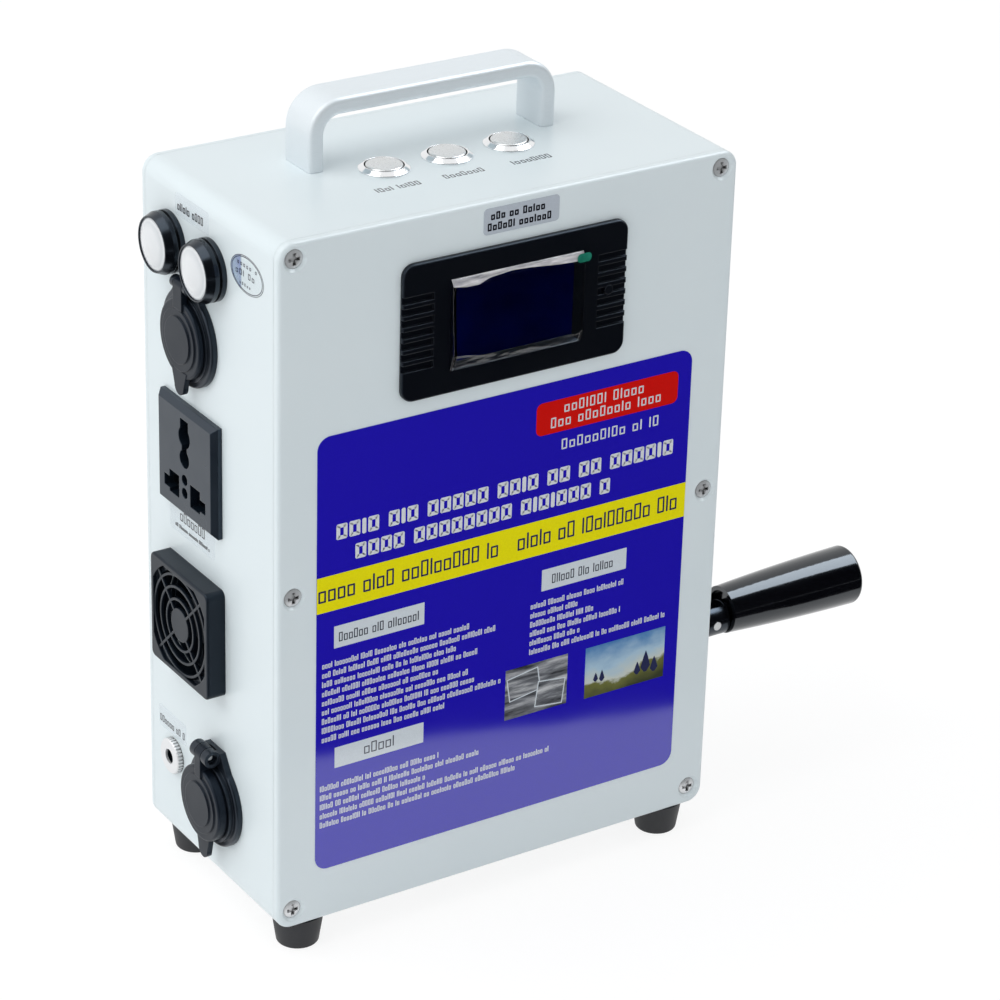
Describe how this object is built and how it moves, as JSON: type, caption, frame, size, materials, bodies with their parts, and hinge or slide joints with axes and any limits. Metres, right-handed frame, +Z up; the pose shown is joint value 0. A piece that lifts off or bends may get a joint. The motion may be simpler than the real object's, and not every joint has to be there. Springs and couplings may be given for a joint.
{
  "type": "hand crank generator",
  "caption": "Metal case power supply with a side crank and folding grip, carry handle, panel meter, push switches, lamps, mains and capped round sockets, fan guard and rubber feet.",
  "frame": {"origin": "centre of the case's underside, between the feet, which stand 12 mm lower", "axes": "+Z up, +X to the right seen from the front towards the crank, +Y from the front cover to the rear cover"},
  "size_m": [0.291, 0.0962, 0.2963],
  "materials": {
    "case_paint": "pale grey powder coat, semi-gloss",
    "zinc_screw": "zinc plated",
    "foot_rubber": "matt black",
    "handle_metal": "satin",
    "label_blue": "printed film, gloss",
    "label_grey": "printed film",
    "bezel_black": "gloss black",
    "display_dark": "gloss, unlit",
    "switch_metal": "bright",
    "button_metal": "satin",
    "lamp_black": "gloss black",
    "lamp_lens": "frosted",
    "circuit_board": "solder mask",
    "socket_black": "moulded",
    "cap_black": "moulded, soft sheen",
    "contact_brass": "plated",
    "outlet_grey": "dark grey",
    "fan_black": "moulded",
    "crank_black": "gloss black",
    "grip_black": "gloss black",
    "shaft_steel": "machined",
    "plate_metal": "machined",
    "cell_wrap": "wrapped cells"
  },
  "bodies": {
    "case": {"case_shell": "case_paint", "front_cover": "case_paint", "rear_cover": "case_paint", "cover_screws": "zinc_screw", "foot_front_left": "foot_rubber", "foot_front_right": "foot_rubber", "foot_rear_left": "foot_rubber", "foot_rear_right": "foot_rubber", "foot_screws": "zinc_screw", "carry_handle": "handle_metal", "handle_screws": "zinc_screw", "front_label": "label_blue", "meter_label": "label_grey", "meter_bezel": "bezel_black", "meter_display": "display_dark", "mains_switch_body": "switch_metal", "lamp_switch_body": "switch_metal", "usb_switch_body": "switch_metal", "front_lamp_bezel": "lamp_black", "rear_lamp_bezel": "lamp_black", "front_lamp_lens": "lamp_lens", "rear_lamp_lens": "lamp_lens", "lamp_boards": "circuit_board", "panel_nuts": "zinc_screw", "usb_socket": "socket_black", "usb_ports": "socket_black", "dc_socket": "socket_black", "dc_socket_contact": "contact_brass", "cap_hinge_pins": "zinc_screw", "ac_socket_plate": "outlet_grey", "ac_socket_body": "socket_black", "fan_guard": "fan_black", "fan_frame": "fan_black", "fan_screws": "zinc_screw", "charge_jack": "socket_black", "charge_jack_nut": "zinc_screw", "shaft_bearing": "contact_brass", "gearbox_plates": "plate_metal", "gearbox_spacers": "shaft_steel", "generator_housing": "plate_metal", "battery_cells": "cell_wrap", "battery_holders": "socket_black", "inverter_board": "circuit_board", "charge_board": "circuit_board"},
    "crank": {"crank_shaft": "shaft_steel", "drive_gear": "shaft_steel", "crank_arm": "crank_black", "crank_screw": "shaft_steel", "grip_hinge_pin": "zinc_screw"},
    "knuckle": {"grip_knuckle": "crank_black"},
    "grip": {"grip": "grip_black"},
    "idler": {"idler_gear": "shaft_steel"},
    "armature": {"generator_rotor": "shaft_steel"},
    "fan": {"fan_rotor": "fan_black"},
    "mains_button": {"mains_switch_button": "button_metal"},
    "lamp_button": {"lamp_switch_button": "button_metal"},
    "usb_button": {"usb_switch_button": "button_metal"},
    "meter_key": {"meter_key": "bezel_black"},
    "usb_cap": {"usb_cap": "cap_black"},
    "dc_cap": {"dc_socket_cap": "cap_black"}
  },
  "joints": [
    {"name": "crank_turn", "type": "hinge", "parent": "case", "child": "crank", "pos_m": [0.09, 0, 0.13], "axis": [1, 0, 0], "continuous": true},
    {"name": "grip_fold", "type": "hinge", "parent": "crank", "child": "knuckle", "pos_m": [0.1249, 0, 0.0454], "axis": [0, -1, 0], "range_deg": [0, 90]},
    {"name": "grip_spin", "type": "hinge", "parent": "knuckle", "child": "grip", "pos_m": [0.15, 0, 0.0481], "axis": [1, 0, 0], "continuous": true},
    {"name": "idler_spin", "type": "hinge", "parent": "case", "child": "idler", "pos_m": [0.07, 0.02185, 0.15056], "axis": [1, 0, 0], "continuous": true},
    {"name": "armature_spin", "type": "hinge", "parent": "case", "child": "armature", "pos_m": [0.03, 0, 0.148], "axis": [1, 0, 0], "continuous": true},
    {"name": "fan_spin", "type": "hinge", "parent": "case", "child": "fan", "pos_m": [-0.083, 0.0102, 0.0972], "axis": [1, 0, 0], "continuous": true},
    {"name": "mains_button_press", "type": "slide", "parent": "case", "child": "mains_button", "axis": [0, 0, -1], "range_m": [0, 0.0015], "stiffness_N_per_m": 300, "springref_m": -0.0008},
    {"name": "lamp_button_press", "type": "slide", "parent": "case", "child": "lamp_button", "axis": [0, 0, -1], "range_m": [0, 0.0015], "stiffness_N_per_m": 300, "springref_m": -0.0008},
    {"name": "usb_button_press", "type": "slide", "parent": "case", "child": "usb_button", "axis": [0, 0, -1], "range_m": [0, 0.0015], "stiffness_N_per_m": 300, "springref_m": -0.0008},
    {"name": "meter_key_press", "type": "slide", "parent": "case", "child": "meter_key", "axis": [0, 1, 0], "range_m": [0, 0.0005], "stiffness_N_per_m": 200, "springref_m": -0.0003},
    {"name": "usb_cap_open", "type": "hinge", "parent": "case", "child": "usb_cap", "pos_m": [-0.0947, 0.0112, 0.2252], "axis": [0, 1, 0], "range_deg": [0, 95]},
    {"name": "dc_cap_open", "type": "hinge", "parent": "case", "child": "dc_cap", "pos_m": [-0.0963, -0.0046, 0.0526], "axis": [0, 1, 0], "range_deg": [0, 110]}
  ],
  "couplings": [
    {"joint": "idler_spin", "follows": "crank_turn", "ratio": -4},
    {"joint": "armature_spin", "follows": "crank_turn", "ratio": 10.667}
  ]
}
